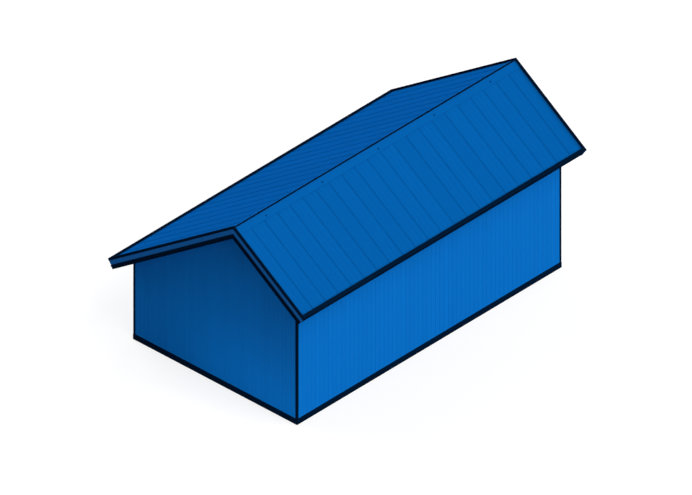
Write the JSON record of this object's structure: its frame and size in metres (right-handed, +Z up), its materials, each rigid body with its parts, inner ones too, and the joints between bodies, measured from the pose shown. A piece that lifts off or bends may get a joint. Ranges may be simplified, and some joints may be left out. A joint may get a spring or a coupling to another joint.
{
  "type": "saltbox barn",
  "caption": "Closed saltbox barn with clad framed walls and an off-centre two-slope roof with deep eaves.",
  "frame": {"origin": "on the ground at the middle of the footprint", "axes": "+X across the barn towards the high side wall, +Y along the ridge towards the back gable, +Z up"},
  "size_m": [8.64, 13.35, 6.8093],
  "materials": {
    "timber_frame": "sawn",
    "wall_cladding": "painted satin",
    "roof_covering": "satin",
    "painted_trim": "painted satin",
    "dark_trim": "painted satin",
    "dark_metal": "satin"
  },
  "bodies": {
    "root": {"front_wall": "timber_frame", "back_wall": "timber_frame", "left_wall": "timber_frame", "right_wall": "timber_frame", "front_cladding": "wall_cladding", "back_cladding": "wall_cladding", "left_cladding": "wall_cladding", "right_cladding": "wall_cladding", "front_base_board": "dark_trim", "back_base_board": "dark_trim", "left_base_board": "dark_trim", "right_base_board": "dark_trim", "front_left_corner_board": "dark_trim", "front_right_corner_board": "dark_trim", "back_left_corner_board": "dark_trim", "back_right_corner_board": "dark_trim", "left_roof_deck": "timber_frame", "right_roof_deck": "timber_frame", "ridge_board": "timber_frame", "left_roofing": "roof_covering", "right_roofing": "roof_covering", "ridge_cap": "roof_covering", "ridge_roll": "dark_metal", "left_fascia": "dark_trim", "right_fascia": "dark_trim", "front_left_barge_board": "painted_trim", "front_right_barge_board": "painted_trim", "back_left_barge_board": "painted_trim", "back_right_barge_board": "painted_trim", "front_left_barge_moulding": "dark_trim", "front_right_barge_moulding": "dark_trim", "back_left_barge_moulding": "dark_trim", "back_right_barge_moulding": "dark_trim", "left_eave_soffit": "painted_trim", "right_eave_soffit": "painted_trim", "front_left_verge_soffit": "painted_trim", "front_right_verge_soffit": "painted_trim", "back_left_verge_soffit": "painted_trim", "back_right_verge_soffit": "painted_trim", "left_eave_flashing": "dark_metal", "right_eave_flashing": "dark_metal", "front_left_verge_flashing": "dark_metal", "front_right_verge_flashing": "dark_metal", "back_left_verge_flashing": "dark_metal", "back_right_verge_flashing": "dark_metal"}
  },
  "joints": []
}
